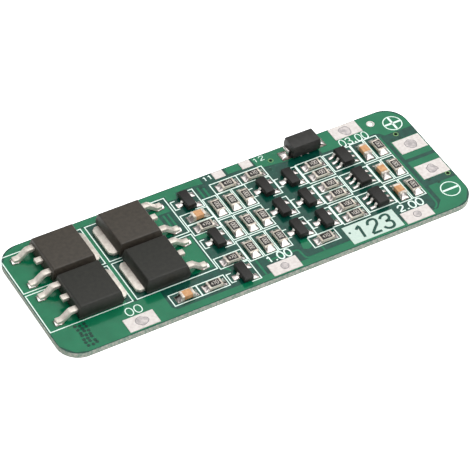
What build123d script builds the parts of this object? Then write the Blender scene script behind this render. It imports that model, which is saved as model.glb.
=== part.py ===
import os
from math import atan2, radians, tan

from build123d import *

# A protection board for a three-cell lithium pack. All lengths are millimetres.
# The origin is the middle of the board's underside. +X runs from the power transistors
# to the output pads, +Y to the edge with the diode, and +Z up through the parts.

# Board
board_thickness = 0.8
corner_radius = 3.0
edge_margin = 0.2

# Tinned copper and print on the board
land_thickness = 0.05
wire_pad_thickness = 0.09
print_thickness = 0.02
print_width = 0.18
print_gap = 0.23
print_to_edge = 0.05

# Moulding of all the plastic packages
draft_angle = 7.0
ic_standoff = 0.08

# Power transistor: a moulded body on a drain plate, with two formed leads and a cut one
mosfet_length = 6.1
mosfet_width = 6.55
mosfet_height = 2.15
mosfet_draft = 13.0
mosfet_parting = 1.0
mosfet_lead_pitch = 2.286
mosfet_lead_width = 0.85
mosfet_lead_thickness = 0.5
mosfet_lead_level = 0.95
mosfet_lead_reach = 2.72
mosfet_lead_in_body = 0.35
mosfet_lead_shoulder = 0.48
mosfet_foot_length = 0.9
mosfet_stub_reach = 0.8
mosfet_bend_radius = 0.6
tab_thickness = 0.5
tab_width = 5.2
tab_reach = 1.0
tab_chamfer = 0.45
tab_inset = 1.2
mosfet_land_out = 0.18
mosfet_land_side = 0.1
drain_land_margin = 0.1
mosfet_edge_chamfer = 0.1
mosfet_frame_side = 0.085
mosfet_print_gap_front = 0.88
mosfet_print_gap_back = 0.2
mosfet_solder_height = 0.34
mosfet_solder_cover = 0.7
mosfet_solder_slope = 30.0

# Three-lead signal transistor
sot_length = 1.3
sot_width = 2.9
sot_height = 0.88
sot_span = 2.4
sot_pitch = 0.95
sot_lead_width = 0.4
sot_lead_thickness = 0.12
sot_foot_length = 0.32
sot_land_out = 0.32
sot_land_width = 0.86
bracket_arm = 0.75
bracket_long_arm = 1.5

# Six-lead protection chip
chip_body_length = 1.6
chip_body_width = 2.9
chip_body_height = 1.0
chip_span = 2.8
chip_pitch = 0.95
chip_lead_width = 0.38
chip_land_out = 0.31
chip_land_width = 0.46
chip_frame_side = 0.18

# Rectifier diode with strip leads bent under its ends
diode_length = 4.2
diode_width = 2.5
diode_height = 2.0
diode_lead_width = 1.1
diode_lead_thickness = 0.2
diode_lead_level = 0.95
diode_lead_out = 0.45
diode_lead_bend = 0.14
diode_solder_height = 0.6
diode_foot_length = 1.1
diode_land_out = 0.75
diode_land_side = 0.25

# Chip resistors and capacitors
resistor_length = 2.0
resistor_width = 1.25
resistor_height = 0.52
overcoat_length = 1.22
overcoat_width = 1.02
overcoat_thickness = 0.04
capacitor_length = 1.85
capacitor_width = 1.15
capacitor_height = 0.75
end_cap_length = 0.38
end_cap_wall = 0.04
land_out = 0.6
land_side = 0

# Solder fillets: how far up a terminal they reach, and how hollow their face is
solder_rise = 0.75
solder_hollow = 0.34
solder_to_land_edge = 0.06
lead_solder_rise = 1.6

# Formed leads: the level part at the body, as a share of the way to the foot
lead_shoulder = 0.35
land_under_heel = 0.1

# Holes
via_radius = 0.2
open_hole_radius = 0.38

# Wire pads, along X and Y
end_pad_length = 4.15
end_pad_width = 2.24
tap_pad_length = 4.1
tap_pad_width = 2.03
output_pad_length = 4.04
output_pad_width = 2.56
test_pad_length = 1.58
test_pad_width = 1.28
pad_chamfer = 0.04
dimple_radius = 0.6
dimple_depth = 0.07

# Solid block of print
print_block_length = 7.53
print_block_width = 3.21

# Gaps of the layout, between printed frames unless a comment says otherwise
mosfet_column_gap = 0.6
mosfet_row_gap = 0.45
driver_gap = 0.36
column_gap = 0.22
switch_gap = 0.1
pair_gap = 0.18
chip_gap = 0.2
row_gap = 0.33
# from the front edge to the lowest printed frame of the cells and of the power transistors
cell_front_margin = 3.98
mosfet_front_margin = 4.83
# from the last frames to the back edge
cell_back_margin = 1.88
mosfet_back_margin = 1.28
# from the last frames to the output pads
output_gap = 1.15
driver_front_margin = 0.9
driver_stack_gaps = (0.2, 1.11, 0.12, 0.09, 0.25)
output_pad_pitch = 5.25
bias_row_gap = 0.06
low_row_gap = 0.35
low_part_gap = 0.05
low_resistor_gap = 0.15
front_pad_margin = 0.3
back_pad_margin = 0.08
test_pad_margin = 0.1
output_pad_margin = 0.2
print_block_margin = 0.43
diode_back_margin = 1.5

# Offsets from the column that a piece belongs to
zero_pad_shift = 3.66
tap_pad_shift = 0.3
first_test_pad_shift = 1.05
second_test_pad_shift = 0.2
diode_shift = 0.3
print_block_shift = 1.1
low_resistor_shift = 0.4
switch_row_shift = 0.07
chip_row_shift = 0.12
# the print lies a little off the copper, so every part stands this far from its frame's middle
part_shift = (0.1, -0.16)
# and the back and front rows of power transistors this much further along Y
mosfet_row_shift = (-0.02, 0.13)

# Holes, from the column beside them and from the nearest long edge
back_via = (-0.4, 1.6)
corner_via = (-0.65, 4.85)
front_via = (1.4, 5.85)
open_hole_place = (1.5, 1.65)

# Levels above the board
land_top = board_thickness + land_thickness

# Distance from the outer edge of a land to the middle of the printed line round it
frame_offset = print_gap + print_width / 2


def frustum(length, width, z_wide, z_narrow, draft):
    """A block that is length x width at z_wide and tapers by the draft towards z_narrow."""
    inset = 2 * abs(z_narrow - z_wide) * tan(radians(draft))
    wide = Pos(0, 0, z_wide) * Rectangle(length, width)
    narrow = Pos(0, 0, z_narrow) * Rectangle(length - inset, width - inset)
    return loft([wide.face(), narrow.face()], ruled=True)


def moulded_body(length, width, z_low, z_high, belt_low, belt_high, draft=draft_angle):
    """Plastic moulded in two halves: an upright belt at the leads, drafted above and below."""
    belt = extrude(Pos(0, 0, belt_low) * Rectangle(length, width), belt_high - belt_low)
    upper = frustum(length, width, belt_high, z_high, draft)
    lower = frustum(length, width, belt_low, z_low, draft)
    return belt + upper + lower


def upright_profile(points, width):
    """A closed outline in the XZ plane, drawn out to a width centred on y = 0."""
    outline = make_face(Polyline(*points, close=True))
    return extrude(Plane.XZ * outline, width / 2, both=True)


def gull_wing(inner_x, tip_x, level, thickness, foot_length, width, shoulder=lead_shoulder, bend_radius=0):
    """A lead that leaves the body at a level, slopes down and ends in a flat foot at z = 0."""
    foot_x = tip_x - foot_length
    shoulder_x = inner_x + shoulder * (foot_x - inner_x)
    skew = thickness * tan(atan2(level, foot_x - shoulder_x) / 2)
    points = [
        (inner_x, level),
        (shoulder_x, level),
        (foot_x, 0),
        (tip_x, 0),
        (tip_x, thickness),
        (foot_x + skew, thickness),
        (shoulder_x + skew, level + thickness),
        (inner_x, level + thickness),
    ]
    outline = make_face(Polyline(*points, close=True))
    if bend_radius:
        bends = [corner for corner in outline.vertices() if inner_x < corner.X - 0.01 < tip_x - 0.02]
        outline = fillet(bends, bend_radius)
    return extrude(Plane.XZ * outline, width / 2, both=True)


def solder_fillet(inner_x, outer_x, height, width):
    """Solder drawn up the end of a terminal: a wedge on the land with a hollow face."""
    run = outer_x - inner_x
    hollow = (inner_x + solder_hollow * run, solder_hollow * height)
    return upright_profile([(inner_x, 0), (outer_x, 0), hollow, (inner_x, height)], width)


def land(x_low, x_high, width, y=0):
    """A tinned copper rectangle on the board, its top at z = 0."""
    return Pos((x_low + x_high) / 2, y, -land_thickness / 2) * Box(x_high - x_low, width, land_thickness)


def printed_frame(length, width):
    """The printed line round a part, given the size at the middle of the line."""
    outer = Rectangle(length + print_width, width + print_width)
    return outer - Rectangle(length - print_width, width - print_width)


def mirrored(shape, side):
    """The shape as it is for side 1, and turned end for end for side -1."""
    return shape if side > 0 else Rot(0, 0, 180) * shape


class Package:
    """The pieces of one component, about its centre and with z = 0 at the top of its lands."""

    def __init__(self, body, leads, lands, solder, frame):
        self.body = body
        self.leads = leads
        self.lands = lands
        self.solder = solder
        self.frame = frame


# Power transistor
mosfet_half = mosfet_length / 2
mosfet_tip_x = mosfet_half + mosfet_lead_reach
mosfet_land_end = mosfet_tip_x + mosfet_land_out
mosfet_tab_end = mosfet_half + tab_reach
mosfet_frame_front = mosfet_land_end + mosfet_print_gap_front + print_width / 2
mosfet_frame_back = mosfet_tab_end + mosfet_print_gap_back + print_width / 2
mosfet_cell_length = mosfet_frame_front + mosfet_frame_back
mosfet_cell_width = mosfet_width + 2 * mosfet_frame_side


def power_transistor():
    """Leads run to +X and the drain tab to -X."""
    body = moulded_body(
        mosfet_length, mosfet_width, 0, mosfet_height, tab_thickness, mosfet_parting, mosfet_draft
    )
    plate_x = mosfet_half - tab_inset
    plate = Rectangle(mosfet_tab_end + plate_x, tab_width)
    plate = chamfer(plate.vertices().group_by(Axis.X)[0], tab_chamfer)
    plate = Pos((plate_x - mosfet_tab_end) / 2, 0, 0) * extrude(plate, tab_thickness)
    body -= plate
    body = chamfer(body.edges().group_by(Axis.Z)[-1], mosfet_edge_chamfer)
    lead_root = mosfet_half - mosfet_lead_in_body
    lead = gull_wing(
        lead_root, mosfet_tip_x, mosfet_lead_level, mosfet_lead_thickness,
        mosfet_foot_length, mosfet_lead_width, mosfet_lead_shoulder, mosfet_bend_radius,
    )
    stub_length = mosfet_lead_in_body + mosfet_stub_reach
    stub = Pos(lead_root + stub_length / 2, 0, mosfet_lead_level + mosfet_lead_thickness / 2) * Box(
        stub_length, mosfet_lead_width, mosfet_lead_thickness
    )
    body -= stub
    leads = [plate, stub]
    foot_x = mosfet_tip_x - mosfet_foot_length
    lead_land_width = mosfet_lead_width + 2 * mosfet_land_side
    lands = [land(drain_land_margin - mosfet_tab_end, plate_x, tab_width - 2 * tab_chamfer)]
    solder = []
    for y in (-mosfet_lead_pitch, mosfet_lead_pitch):
        leads.append(Pos(0, y, 0) * lead)
        body -= Pos(0, y, 0) * lead
        lands.append(land(foot_x, mosfet_land_end, lead_land_width, y))
        pool = Pos((mosfet_tip_x - mosfet_solder_cover + mosfet_land_end) / 2, y, 0) * frustum(
            mosfet_land_out + mosfet_solder_cover, lead_land_width,
            0, mosfet_solder_height, mosfet_solder_slope,
        )
        solder.append(pool - Pos(0, y, 0) * lead)
    frame = Pos((mosfet_frame_front - mosfet_frame_back) / 2, 0) * printed_frame(
        mosfet_cell_length, mosfet_cell_width
    )
    return Package(body, leads, lands, solder, frame)


# Three-lead signal transistor
sot_belt_low = sot_height / 2 - 0.05
sot_land_end = sot_span / 2 + sot_land_out
sot_cell_length = 2 * (sot_land_end + frame_offset)
sot_cell_width = 2 * (sot_pitch + sot_land_width / 2 + frame_offset)


def signal_transistor():
    """One lead to -X and two to +X."""
    body = moulded_body(
        sot_length, sot_width, ic_standoff, sot_height, sot_belt_low, sot_belt_low + sot_lead_thickness
    )
    tip_x = sot_span / 2
    lead = gull_wing(sot_length / 2, tip_x, sot_belt_low, sot_lead_thickness, sot_foot_length, sot_lead_width)
    joint = solder_fillet(
        tip_x, sot_land_end - solder_to_land_edge, lead_solder_rise * sot_lead_thickness,
        sot_land_width - 2 * solder_to_land_edge,
    )
    pad = land(tip_x - sot_foot_length - land_under_heel, sot_land_end, sot_land_width)
    leads = []
    lands = []
    solder = []
    for side, y in ((-1, 0), (1, -sot_pitch), (1, sot_pitch)):
        place = Pos(0, y, 0)
        leads.append(place * mirrored(lead, side))
        lands.append(place * mirrored(pad, side))
        solder.append(place * mirrored(joint, side))
    ring = printed_frame(sot_cell_length, sot_cell_width)
    small_ring = printed_frame(sot_cell_length, sot_land_width + 2 * frame_offset)
    half = (sot_cell_length + print_width) / 2
    window = Rectangle(bracket_arm, sot_cell_width + 2 * print_width)
    left = small_ring & Pos(bracket_arm / 2 - half, 0) * window
    right = ring & Pos(half - bracket_arm / 2, 0) * window
    long_arm = Pos(half - bracket_long_arm / 2, -sot_cell_width / 2) * Rectangle(bracket_long_arm, print_width)
    frame = left + right + long_arm
    return Package(body, leads, lands, solder, frame)


# Six-lead protection chip
chip_belt_low = chip_body_height / 2 - 0.05
chip_land_end = chip_span / 2 + chip_land_out
chip_cell_length = 2 * (chip_land_end + frame_offset)
chip_cell_width = chip_body_width + 2 * chip_frame_side


def protection_chip():
    """Three leads to each side."""
    body = moulded_body(
        chip_body_length, chip_body_width, ic_standoff, chip_body_height,
        chip_belt_low, chip_belt_low + sot_lead_thickness,
    )
    tip_x = chip_span / 2
    lead = gull_wing(
        chip_body_length / 2, tip_x, chip_belt_low, sot_lead_thickness, sot_foot_length, chip_lead_width
    )
    joint = solder_fillet(
        tip_x, chip_land_end - solder_to_land_edge, lead_solder_rise * sot_lead_thickness,
        chip_land_width - 2 * solder_to_land_edge,
    )
    pad = land(tip_x - sot_foot_length - land_under_heel, chip_land_end, chip_land_width)
    leads = []
    lands = []
    solder = []
    for side in (-1, 1):
        for row in (-1, 0, 1):
            place = Pos(0, row * chip_pitch, 0)
            leads.append(place * mirrored(lead, side))
            lands.append(place * mirrored(pad, side))
            solder.append(place * mirrored(joint, side))
    return Package(body, leads, lands, solder, printed_frame(chip_cell_length, chip_cell_width))


# Rectifier diode
diode_land_end = diode_length / 2 + diode_land_out + diode_lead_out


def rectifier_diode():
    """A moulded block with a strip lead bent down and under at each end."""
    half = diode_length / 2
    body = moulded_body(
        diode_length, diode_width, diode_lead_thickness, diode_height,
        diode_lead_level, diode_lead_level + diode_lead_thickness,
    )
    outer = half + diode_lead_out
    strip = upright_profile(
        [
            (half, diode_lead_level + diode_lead_thickness),
            (outer - diode_lead_bend, diode_lead_level + diode_lead_thickness),
            (outer, diode_lead_level + diode_lead_thickness - diode_lead_bend),
            (outer, diode_lead_bend),
            (outer - diode_lead_bend, 0),
            (outer - diode_foot_length, 0),
            (outer - diode_foot_length, diode_lead_thickness),
            (outer - diode_lead_thickness, diode_lead_thickness),
            (outer - diode_lead_thickness, diode_lead_level),
            (half, diode_lead_level),
        ],
        diode_lead_width,
    )
    joint = solder_fillet(
        outer - diode_lead_bend, diode_land_end - solder_to_land_edge, diode_solder_height, diode_lead_width
    )
    pad = land(outer - diode_foot_length, diode_land_end, diode_lead_width + 2 * diode_land_side)
    leads = [mirrored(strip, side) for side in (-1, 1)]
    lands = [mirrored(pad, side) for side in (-1, 1)]
    solder = [mirrored(joint - strip, side) for side in (-1, 1)]
    return Package(body, leads, lands, solder, None)


# Chip resistors and capacitors
part_cell_length = resistor_length + 2 * (land_out + frame_offset)
part_cell_width = resistor_width + 2 * (land_side + frame_offset)


def end_cap(length, width, height):
    """A metal cap over the +X end of a chip, wrapped round its top, bottom and sides."""
    half = length / 2
    shell = Pos(half - end_cap_length / 2, 0, height / 2) * Box(end_cap_length, width, height)
    core = Pos(half - end_cap_length / 2 - end_cap_wall, 0, height / 2) * Box(
        end_cap_length, width - 2 * end_cap_wall, height - 2 * end_cap_wall
    )
    return shell - core


def chip_package(body, length, width, height):
    cap = end_cap(length, width, height)
    half = length / 2
    land_end = half + land_out
    joint = solder_fillet(half, land_end - solder_to_land_edge, solder_rise * height, width)
    pad = land(half - end_cap_length - land_under_heel, land_end, width + 2 * land_side)
    leads = [mirrored(cap, side) for side in (-1, 1)]
    lands = [mirrored(pad, side) for side in (-1, 1)]
    solder = [mirrored(joint, side) for side in (-1, 1)]
    return Package(body, leads, lands, solder, printed_frame(part_cell_length, part_cell_width))


def chip_resistor():
    """A flat ceramic with a raised black overcoat between its end caps."""
    core_length = resistor_length - 2 * end_cap_wall
    core_width = resistor_width - 2 * end_cap_wall
    core_height = resistor_height - 2 * end_cap_wall
    core = Pos(0, 0, resistor_height / 2) * Box(core_length, core_width, core_height)
    coat_base = resistor_height - end_cap_wall
    coat = Pos(0, 0, coat_base + overcoat_thickness / 2) * Box(
        min(overcoat_length, resistor_length - 2 * end_cap_length), overcoat_width, overcoat_thickness
    )
    return chip_package(core + coat, resistor_length, resistor_width, resistor_height)


def chip_capacitor():
    """A taller ceramic block, held in its end caps."""
    body = Pos(0, 0, capacitor_height / 2) * Box(
        capacitor_length - 2 * end_cap_wall,
        capacitor_width - 2 * end_cap_wall,
        capacitor_height - 2 * end_cap_wall,
    )
    return chip_package(body, capacitor_length, capacitor_width, capacitor_height)


# Columns of the layout, along X from the left edge of the board
column_x = {}
reach = edge_margin + mosfet_frame_front
column_x["mosfet_left"] = reach
reach += mosfet_frame_back + mosfet_column_gap + mosfet_frame_back
column_x["mosfet_right"] = reach
reach += mosfet_frame_front + driver_gap
driver_left = reach
column_x["driver"] = reach + sot_cell_length / 2
reach += sot_cell_length + column_gap
for index in range(3):
    column_x[f"balance_{index}"] = reach + part_cell_width / 2
    reach += part_cell_width + column_gap
reach -= column_gap
column_x["switch_a"] = reach + sot_cell_length / 2
reach += sot_cell_length + switch_gap
column_x["switch_b"] = reach + sot_cell_length / 2
reach += sot_cell_length + pair_gap
column_x["pair"] = reach + part_cell_length / 2
reach += part_cell_length + chip_gap
column_x["chip"] = reach + chip_cell_length / 2
reach += chip_cell_length + pair_gap
column_x["capacitor"] = reach + part_cell_width / 2
reach += part_cell_width + column_gap
column_x["filter"] = reach + part_cell_width / 2
reach += part_cell_width + output_gap
column_x["output"] = reach + output_pad_length / 2
board_length = reach + output_pad_length + output_pad_margin
column_x = {name: x - board_length / 2 for name, x in column_x.items()}
driver_left -= board_length / 2

# Rows of the layout, along Y from the front edge of the board
cell_pitch = part_cell_length + row_gap
cells_back = cell_front_margin + 3 * part_cell_length + 2 * row_gap
mosfet_pitch = mosfet_cell_width + mosfet_row_gap
mosfets_back = mosfet_front_margin + mosfet_pitch + mosfet_cell_width
bias_row_y = cells_back + bias_row_gap + part_cell_width / 2
board_width = max(bias_row_y + part_cell_width / 2 + cell_back_margin, mosfets_back + mosfet_back_margin)
front_edge = -board_width / 2
back_edge = board_width / 2
cell_y = [front_edge + cell_front_margin + part_cell_length / 2 + row * cell_pitch for row in (2, 1, 0)]
mosfet_y = [front_edge + mosfet_front_margin + mosfet_cell_width / 2 + row * mosfet_pitch for row in (1, 0)]
bias_row_y += front_edge

# The column of driver transistors, stacked from the front edge
stack = front_edge + driver_front_margin
driver_y = []
stack_y = []
for kind, gap in zip(("sot", "part", "sot", "part", "part", "sot"), (*driver_stack_gaps, 0)):
    size = sot_cell_width if kind == "sot" else part_cell_width
    centres = driver_y if kind == "sot" else stack_y
    centres.append(stack + size / 2)
    stack += size + gap

# Collected pieces
nodes = {}
end_caps = []
lands = []
solder_joints = []
transistor_leads = []
chip_leads = []
frames = []


def place(package, name, x, y, turn, leads_to, slip=0):
    """Put a package on the board and collect its pieces. Its frame is printed round (x, y)."""
    where = Pos(x + part_shift[0], y + part_shift[1] + slip, land_top) * Rot(0, 0, turn)
    nodes[name] = [where * package.body]
    leads_to.extend(where * piece for piece in package.leads)
    lands.extend(where * piece for piece in package.lands)
    solder_joints.extend(where * piece for piece in package.solder)
    if package.frame is not None:
        frames.append(Pos(x, y) * Rot(0, 0, turn) * package.frame)


def place_power_transistors():
    package = power_transistor()
    number = 1
    for row in (0, 1):
        for column, turn in (("mosfet_left", 180), ("mosfet_right", 0)):
            leads = []
            place(
                package, f"mosfet_{number}_body", column_x[column], mosfet_y[row], turn, leads,
                mosfet_row_shift[row],
            )
            nodes[f"mosfet_{number}_leads"] = leads
            number += 1


def place_signal_transistors():
    package = signal_transistor()
    for number, y in enumerate(reversed(driver_y), 1):
        place(package, f"driver_transistor_{number}", column_x["driver"], y, 0, transistor_leads)
    number = 1
    for y in cell_y:
        for column in ("switch_a", "switch_b"):
            place(package, f"level_transistor_{number}", column_x[column], y + switch_row_shift, 0, transistor_leads)
            number += 1


def place_protection_chips():
    package = protection_chip()
    for number, y in enumerate(cell_y, 1):
        place(package, f"protection_chip_{number}_body", column_x["chip"], y + chip_row_shift, 0, chip_leads)


def place_resistors():
    package = chip_resistor()
    number = 1
    for y in cell_y:
        for index in range(3):
            place(package, f"balance_resistor_{number}", column_x[f"balance_{index}"], y, 90, end_caps)
            number += 1
    number = 1
    for y in cell_y:
        for side in (1, -1):
            place(
                package, f"sense_resistor_{number}",
                column_x["pair"], y + side * part_cell_width / 2, 0, end_caps,
            )
            number += 1
    for number, y in enumerate(cell_y, 1):
        place(package, f"filter_resistor_{number}", column_x["filter"], y, 90, end_caps)
    bias_x = column_x["balance_1"] - part_cell_width / 2 + part_cell_length / 2
    low_x = driver_left - low_row_gap - part_cell_length / 2
    low_y = cell_y[2] + switch_row_shift - sot_cell_width / 2 - low_resistor_gap - part_cell_width / 2
    switch_x = (column_x["switch_a"] + column_x["switch_b"]) / 2 + low_resistor_shift
    spots = [
        (bias_x, bias_row_y),
        (bias_x + part_cell_length, bias_row_y),
        (column_x["driver"], stack_y[1]),
        (column_x["driver"], stack_y[0]),
        (low_x, driver_y[0]),
        (switch_x, low_y),
    ]
    for number, (x, y) in enumerate(spots, 1):
        place(package, f"bias_resistor_{number}", x, y, 0, end_caps)


def place_capacitors():
    package = chip_capacitor()
    for number, y in enumerate(cell_y, 1):
        place(package, f"filter_capacitor_{number}", column_x["capacitor"], y, 90, end_caps)
    place(package, "gate_capacitor", column_x["driver"], stack_y[2], 0, end_caps)
    low_x = driver_left - low_row_gap - low_part_gap - 1.5 * part_cell_length
    place(package, "supply_capacitor", low_x, driver_y[0], 0, end_caps)


def place_diode():
    leads = []
    diode_x = column_x["pair"] + diode_shift
    place(rectifier_diode(), "diode_body", diode_x, back_edge - diode_back_margin, 0, leads)
    nodes["diode_leads"] = leads


# Wire pads and small test pads: centre and size
middle_y = cell_y[1]
end_pad_y = front_edge + front_pad_margin + end_pad_width / 2
tap_pad_y = front_edge + front_pad_margin + tap_pad_width / 2
back_pad_y = back_edge - back_pad_margin - end_pad_width / 2
wire_pads = [
    (column_x["mosfet_left"] + zero_pad_shift, end_pad_y, end_pad_length, end_pad_width),
    (column_x["balance_1"] + tap_pad_shift, tap_pad_y, tap_pad_length, tap_pad_width),
    (column_x["capacitor"], tap_pad_y, tap_pad_length, tap_pad_width),
    (column_x["capacitor"], back_pad_y, end_pad_length, end_pad_width),
    (column_x["output"], middle_y + output_pad_pitch / 2, output_pad_length, output_pad_width),
    (column_x["output"], middle_y - output_pad_pitch / 2, output_pad_length, output_pad_width),
]
test_pad_y = back_edge - test_pad_margin - test_pad_width / 2
test_pads = [
    (column_x["balance_1"] + first_test_pad_shift, test_pad_y),
    (column_x["switch_a"] + second_test_pad_shift, test_pad_y),
]
print_block_place = (
    column_x["pair"] + print_block_shift,
    front_edge + print_block_margin + print_block_width / 2,
)
vias = [
    (column_x["switch_b"] + back_via[0], back_edge - back_via[1]),
    (column_x["output"] + corner_via[0], back_edge - corner_via[1]),
    (column_x["output"] + front_via[0], front_edge + front_via[1]),
]
open_hole = (column_x["filter"] + open_hole_place[0], back_edge - open_hole_place[1])


def upright_hole(x, y, radius):
    return Pos(x, y, board_thickness / 2) * Cylinder(radius, 2 * board_thickness)


def circuit_board():
    board = extrude(RectangleRounded(board_length, board_width, corner_radius), board_thickness)
    for x, y in vias:
        board -= upright_hole(x, y, via_radius)
    return board - upright_hole(*open_hole, open_hole_radius)


def tinned_pad(length, width):
    pad = Pos(0, 0, wire_pad_thickness / 2) * Box(length, width, wire_pad_thickness)
    return chamfer(pad.edges().group_by(Axis.Z)[-1], pad_chamfer)


def tinned_wire_pad(length, width):
    """A pad whose tin dips over the filled hole in its middle."""
    dip = Pos(0, 0, wire_pad_thickness - dimple_depth / 2) * Cone(0, dimple_radius, dimple_depth)
    return tinned_pad(length, width) - dip


def make_wire_pads():
    pads = []
    for x, y, length, width in wire_pads:
        pads.append(Pos(x, y, board_thickness) * tinned_wire_pad(length, width))
    for x, y in test_pads:
        pads.append(Pos(x, y, board_thickness) * tinned_pad(test_pad_length, test_pad_width))
    return pads


def printed_layer():
    """All the printed frames and the solid block, as one layer of ink."""
    block = Pos(*print_block_place) * Rectangle(print_block_length, print_block_width)
    reachable = RectangleRounded(
        board_length - 2 * print_to_edge, board_width - 2 * print_to_edge, corner_radius - print_to_edge
    )
    layer = (Sketch() + frames + block) & reachable
    return Pos(0, 0, board_thickness) * extrude(layer, print_thickness)


place_power_transistors()
place_signal_transistors()
place_protection_chips()
place_resistors()
place_capacitors()
place_diode()
nodes["circuit_board"] = [circuit_board()]
nodes["wire_pads"] = make_wire_pads()
nodes["component_pads"] = lands
nodes["solder_joints"] = solder_joints
nodes["chip_end_caps"] = end_caps
nodes["transistor_leads"] = transistor_leads
nodes["protection_chip_leads"] = chip_leads
nodes["printed_frames"] = printed_layer().solids()

os.makedirs("parts", exist_ok=True)
for name, pieces in nodes.items():
    solids = [solid for piece in pieces for solid in piece.solids()]
    shape = solids[0] if len(solids) == 1 else Compound(children=solids)
    export_step(shape, f"parts/{name}.step")

print("board", round(board_length, 3), "x", round(board_width, 3), "nodes", len(nodes))
print("columns", {name: round(x, 2) for name, x in column_x.items()})
print("rows", [round(y, 2) for y in cell_y], [round(y, 2) for y in mosfet_y])
print("drivers", [round(y, 2) for y in driver_y], [round(y, 2) for y in stack_y])
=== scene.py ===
import math

import bmesh
import bpy
from mathutils import Matrix, Vector, noise


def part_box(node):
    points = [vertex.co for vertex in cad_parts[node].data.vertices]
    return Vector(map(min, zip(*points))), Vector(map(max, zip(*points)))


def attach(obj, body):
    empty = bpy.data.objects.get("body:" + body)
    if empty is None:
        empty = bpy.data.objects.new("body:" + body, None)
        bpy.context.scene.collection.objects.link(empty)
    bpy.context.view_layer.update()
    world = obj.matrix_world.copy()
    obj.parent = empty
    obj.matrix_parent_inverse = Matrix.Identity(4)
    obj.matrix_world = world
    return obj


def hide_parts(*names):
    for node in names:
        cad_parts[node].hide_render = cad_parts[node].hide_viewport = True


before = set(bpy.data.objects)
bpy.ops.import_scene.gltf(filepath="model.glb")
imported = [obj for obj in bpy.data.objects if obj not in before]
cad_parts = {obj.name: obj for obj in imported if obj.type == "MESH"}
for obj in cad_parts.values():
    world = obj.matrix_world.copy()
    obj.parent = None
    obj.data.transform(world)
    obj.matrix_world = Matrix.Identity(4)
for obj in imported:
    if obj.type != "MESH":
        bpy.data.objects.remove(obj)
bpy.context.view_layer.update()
MM = 0.001

# %% [markdown]
# ## The camera
# The photograph was taken from the front left, half way up, with a long lens and the camera
# turned a little about its own axis. A camera could be set by eye. Here its angles, distance
# and lens were fitted to the board's outline in the photograph, and they place the camera as
# seen from a point on the board's top.
# %% Place the camera
BOARD_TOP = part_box("circuit_board")[1].z / MM
AIM = Vector((-1.36, -1.15, BOARD_TOP)) * MM
AZIMUTH = math.radians(-32.56)
ELEVATION = math.radians(45.29)
ROLL = math.radians(3.52)
DISTANCE = 309.3 * MM
LENS = 189.1
SENSOR = 36
NEAREST = 10 * MM

level_share = math.cos(ELEVATION)
back = Vector((math.sin(AZIMUTH) * level_share, -math.cos(AZIMUTH) * level_share, math.sin(ELEVATION)))
right = Vector((math.cos(AZIMUTH), math.sin(AZIMUTH), 0))
up = back.cross(right)
camera_x = right * math.cos(ROLL) + up * math.sin(ROLL)
camera_y = up * math.cos(ROLL) - right * math.sin(ROLL)
turn = Matrix((camera_x, camera_y, back)).transposed().to_4x4()
camera_data = bpy.data.cameras.new("camera")
camera_data.sensor_width = SENSOR
camera_data.lens = LENS
camera_data.clip_start = NEAREST
camera = bpy.data.objects.new("camera", camera_data)
camera.matrix_world = Matrix.Translation(AIM + back * DISTANCE) @ turn
bpy.context.scene.collection.objects.link(camera)
bpy.context.scene.camera = camera
bpy.context.scene.view_settings.view_transform = "Standard"
print("camera at", camera.location)

# %% [markdown]
# ## The light
# The board was lit in a light tent. Metal shows only what it mirrors, so a few lamps in a black
# room would leave the solder black. A picture of a studio would do, but it is one more file.
# So the tent is the world: white in a wide patch overhead, in a smaller one towards the front
# right and in a small one at the back left, and grey elsewhere. The camera itself sees plain
# white behind everything.
# %% Hang the tent
# Each patch has its axis, the cosines at its faded rim and at its full level, and that level.
OVERHEAD = ((0.40, -0.08, 0.91), (0.58, 0.82), 1.0)
FRONT_RIGHT = ((0.18, -0.52, 0.84), (0.70, 0.90), 1.0)
BACK_LEFT = ((-0.38, 0.58, 0.72), (0.91, 0.98), 1.0)
TENT_GREY = 0.26


def reckon(tree, operation, first, second):
    """A math node's result. Each input is a number, or the output of another node."""
    step = tree.nodes.new("ShaderNodeMath")
    step.operation = operation
    for socket, value in zip(step.inputs, (first, second)):
        if isinstance(value, float):
            socket.default_value = value
        else:
            tree.links.new(value, socket)
    return step.outputs[0]


def glow_towards(tree, place, axis, edge, level):
    """The level of a round patch in the sky, fading between two cosines from its axis."""
    nearness = tree.nodes.new("ShaderNodeVectorMath")
    nearness.operation = "DOT_PRODUCT"
    nearness.inputs[1].default_value = axis
    fade = tree.nodes.new("ShaderNodeMapRange")
    fade.interpolation_type = "SMOOTHSTEP"
    fade.inputs["From Min"].default_value = edge[0]
    fade.inputs["From Max"].default_value = edge[1]
    fade.inputs["To Max"].default_value = level
    tree.links.new(place.outputs["Generated"], nearness.inputs[0])
    tree.links.new(nearness.outputs["Value"], fade.inputs["Value"])
    return fade.outputs["Result"]


world = bpy.data.worlds.new("tent")
bpy.context.scene.world = world
world.use_nodes = True
tree = world.node_tree
backdrop = tree.nodes["Background"]
backdrop.inputs["Color"].default_value = (1, 1, 1, 1)
place = tree.nodes.new("ShaderNodeTexCoord")
sky = TENT_GREY
for axis, edge, level in (OVERHEAD, FRONT_RIGHT, BACK_LEFT):
    sky = reckon(tree, "ADD", sky, glow_towards(tree, place, axis, edge, level))
rays = tree.nodes.new("ShaderNodeLightPath")
choice = tree.nodes.new("ShaderNodeMix")
choice.inputs["B"].default_value = 1.0
tree.links.new(rays.outputs["Is Camera Ray"], choice.inputs["Factor"])
tree.links.new(sky, choice.inputs["A"])
tree.links.new(choice.outputs["Result"], backdrop.inputs["Strength"])
print("nodes of the sky:", len(tree.nodes))

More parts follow.
